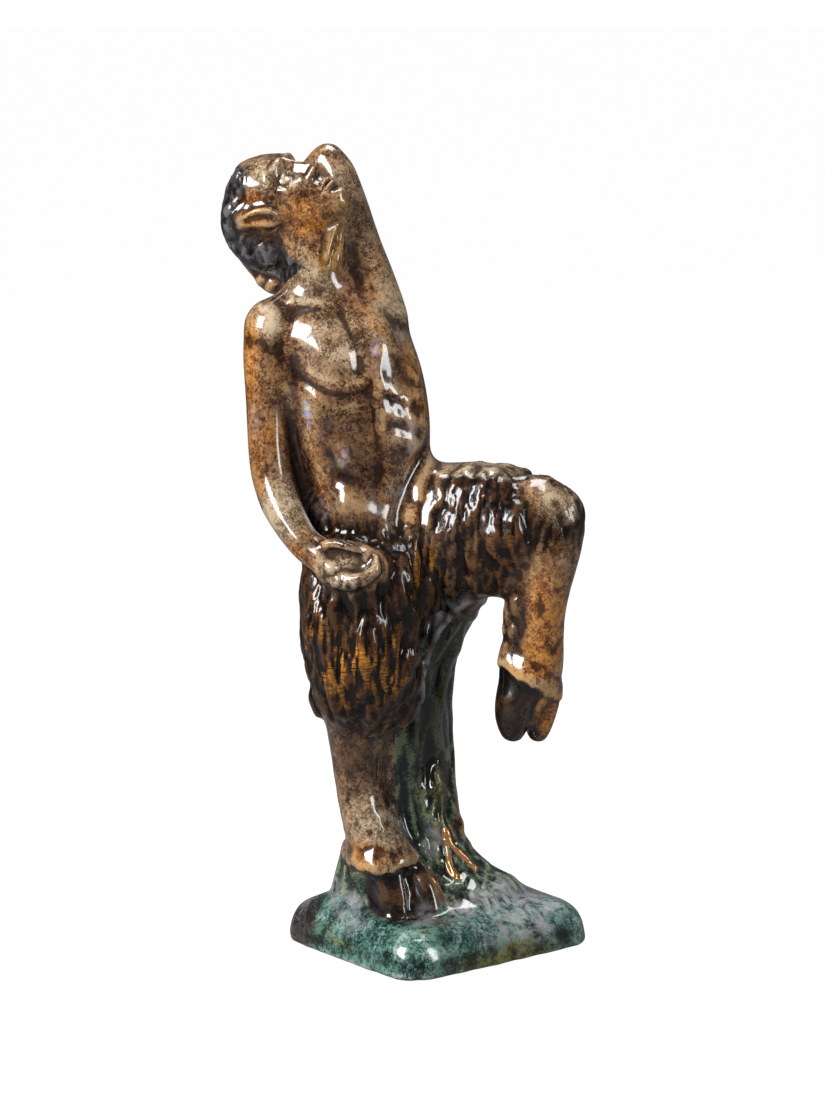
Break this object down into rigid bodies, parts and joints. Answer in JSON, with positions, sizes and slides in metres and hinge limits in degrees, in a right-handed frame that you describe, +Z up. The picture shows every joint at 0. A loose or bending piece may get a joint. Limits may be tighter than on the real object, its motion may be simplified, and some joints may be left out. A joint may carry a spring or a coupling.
{
  "type": "glazed ceramic faun statue",
  "caption": "Standing faun with a raised leg and one arm behind its head, on a tree stump and moulded slab.",
  "frame": {"origin": "centre of the slab's flat underside", "axes": "+Z up; X and Y along the slab's sides; the standing leg faces -Y"},
  "size_m": [0.142, 0.138, 0.3819],
  "materials": {
    "faun_statue": "glossy mottled brown glaze, teal green on the slab and stump"
  },
  "bodies": {
    "root": {"faun_statue": "faun_statue"}
  },
  "joints": []
}
